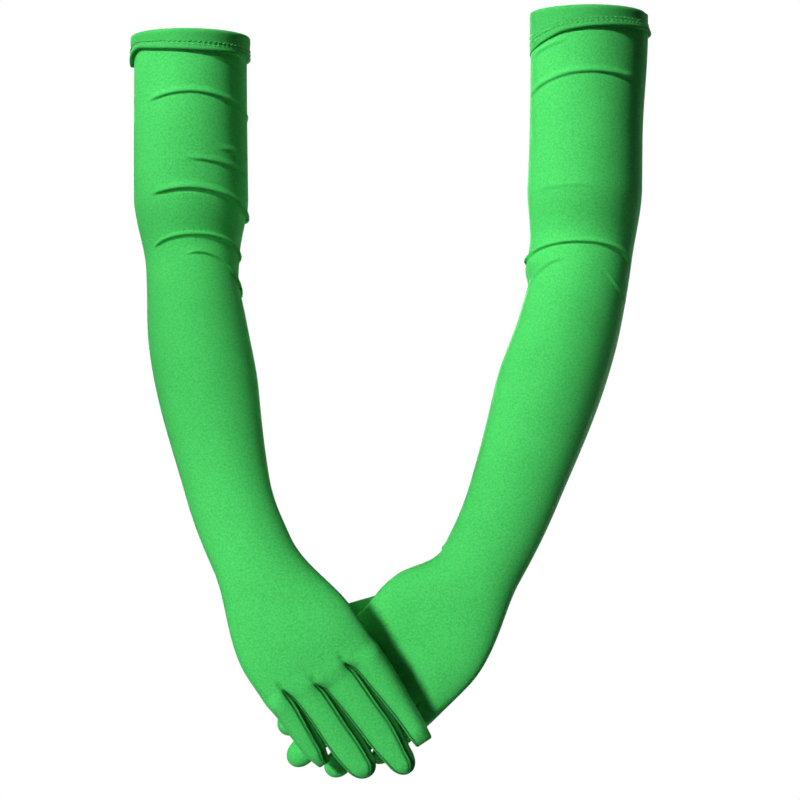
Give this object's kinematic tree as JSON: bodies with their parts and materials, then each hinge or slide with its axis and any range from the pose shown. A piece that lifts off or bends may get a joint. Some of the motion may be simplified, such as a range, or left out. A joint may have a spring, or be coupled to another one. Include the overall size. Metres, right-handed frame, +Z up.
{
  "type": "long knit gloves",
  "caption": "Long stretch-knit gloves reaching the upper arm, worn with the hands crossed, with turned cuff hems, set-in thumbs, side strips and fingers that bend at their roots.",
  "frame": {"origin": "middle of the left glove's finger roots", "axes": "+Z up, -Y the front that the backs of the hands face, +X across to the left glove"},
  "size_m": [0.3419, 0.2026, 0.4888],
  "materials": {
    "glove_knit": "smooth stretch knit with a soft sheen",
    "hem_knit": "turned and cover-stitched knit",
    "strip_knit": "smooth stretch knit"
  },
  "bodies": {
    "left_hand": {"left_hand_back": "glove_knit", "left_hand_palm": "glove_knit"},
    "left_forearm": {"left_forearm_back": "glove_knit", "left_forearm_front": "glove_knit"},
    "left_upper_sleeve": {"left_cuff_hem": "hem_knit", "left_upper_sleeve_back": "glove_knit", "left_upper_sleeve_front": "glove_knit"},
    "left_thumb": {"left_thumb": "glove_knit"},
    "left_index_finger": {"left_index_back": "glove_knit", "left_index_front": "glove_knit", "left_index_strip_little_side": "strip_knit"},
    "left_middle_finger": {"left_middle_back": "glove_knit", "left_middle_front": "glove_knit", "left_middle_strip_thumb_side": "strip_knit", "left_middle_strip_little_side": "strip_knit"},
    "left_ring_finger": {"left_ring_back": "glove_knit", "left_ring_front": "glove_knit", "left_ring_strip_thumb_side": "strip_knit", "left_ring_strip_little_side": "strip_knit"},
    "left_little_finger": {"left_little_back": "glove_knit", "left_little_front": "glove_knit", "left_little_strip_thumb_side": "strip_knit"},
    "right_hand": {"right_hand_back": "glove_knit", "right_hand_palm": "glove_knit"},
    "right_forearm": {"right_forearm_back": "glove_knit", "right_forearm_front": "glove_knit"},
    "right_upper_sleeve": {"right_cuff_hem": "hem_knit", "right_upper_sleeve_back": "glove_knit", "right_upper_sleeve_front": "glove_knit"},
    "right_thumb": {"right_thumb": "glove_knit"},
    "right_index_finger": {"right_index_back": "glove_knit", "right_index_front": "glove_knit", "right_index_strip_little_side": "strip_knit"},
    "right_middle_finger": {"right_middle_back": "glove_knit", "right_middle_front": "glove_knit", "right_middle_strip_thumb_side": "strip_knit", "right_middle_strip_little_side": "strip_knit"},
    "right_ring_finger": {"right_ring_back": "glove_knit", "right_ring_front": "glove_knit", "right_ring_strip_thumb_side": "strip_knit", "right_ring_strip_little_side": "strip_knit"},
    "right_little_finger": {"right_little_back": "glove_knit", "right_little_front": "glove_knit", "right_little_strip_thumb_side": "strip_knit"}
  },
  "joints": [
    {"name": "left_wrist", "type": "hinge", "parent": "left_hand", "child": "left_forearm", "pos_m": [0.05232, -0.0081, 0.06998], "axis": [0.8829, 0, -0.4695], "range_deg": [0, 60]},
    {"name": "left_elbow", "type": "hinge", "parent": "left_forearm", "child": "left_upper_sleeve", "pos_m": [0.11657, 0.06758, 0.26499], "axis": [0.987, 0, -0.1607], "range_deg": [0, 100]},
    {"name": "left_index_bend", "type": "hinge", "parent": "left_hand", "child": "left_index_finger", "pos_m": [-0.01951, 0.01112, 0.01885], "axis": [0.6884, 0, -0.7254], "range_deg": [0, 70]},
    {"name": "left_middle_bend", "type": "hinge", "parent": "left_hand", "child": "left_middle_finger", "pos_m": [-0.00513, 0.0134, 0.00341], "axis": [0.6884, 0, -0.7254], "range_deg": [0, 80]},
    {"name": "left_ring_bend", "type": "hinge", "parent": "left_hand", "child": "left_ring_finger", "pos_m": [0.00838, 0.01314, -0.01079], "axis": [0.6884, 0, -0.7254], "range_deg": [0, 80]},
    {"name": "left_little_bend", "type": "hinge", "parent": "left_hand", "child": "left_little_finger", "pos_m": [0.02, 0.01007, -0.02265], "axis": [0.6884, 0, -0.7254], "range_deg": [0, 80]},
    {"name": "left_thumb_swing", "type": "hinge", "parent": "left_hand", "child": "left_thumb", "pos_m": [0.02151, 0.02077, 0.04042], "axis": [-0.214, 0.9682, -0.1296], "range_deg": [0, 20]},
    {"name": "right_glove_lift", "type": "slide", "parent": "left_hand", "child": "right_hand", "axis": [0, -0.7071, 0.7071], "range_m": [0, 0.15]},
    {"name": "right_wrist", "type": "hinge", "parent": "right_hand", "child": "right_forearm", "pos_m": [-0.09856, -0.05571, 0.08134], "axis": [0.9026, 0, 0.4305], "range_deg": [0, 60]},
    {"name": "right_elbow", "type": "hinge", "parent": "right_forearm", "child": "right_upper_sleeve", "pos_m": [-0.14099, 0.05979, 0.26061], "axis": [0.9954, 0, 0.0958], "range_deg": [0, 100]},
    {"name": "right_index_bend", "type": "hinge", "parent": "right_hand", "child": "right_index_finger", "pos_m": [-0.03122, -0.05658, 0.01667], "axis": [-0.8339, 0, -0.5519], "range_deg": [0, 45]},
    {"name": "right_middle_bend", "type": "hinge", "parent": "right_hand", "child": "right_middle_finger", "pos_m": [-0.0486, -0.05883, 0.0047], "axis": [-0.8339, 0, -0.5519], "range_deg": [0, 45]},
    {"name": "right_ring_bend", "type": "hinge", "parent": "right_hand", "child": "right_ring_finger", "pos_m": [-0.06497, -0.05857, -0.00608], "axis": [-0.8339, 0, -0.5519], "range_deg": [0, 45]},
    {"name": "right_little_bend", "type": "hinge", "parent": "right_hand", "child": "right_little_finger", "pos_m": [-0.0791, -0.05554, -0.0148], "axis": [-0.8339, 0, -0.5519], "range_deg": [0, 45]},
    {"name": "right_thumb_swing", "type": "hinge", "parent": "right_hand", "child": "right_thumb", "pos_m": [-0.07076, -0.02988, 0.04657], "axis": [-0.2272, -0.9608, 0.1589], "range_deg": [0, 16]}
  ]
}
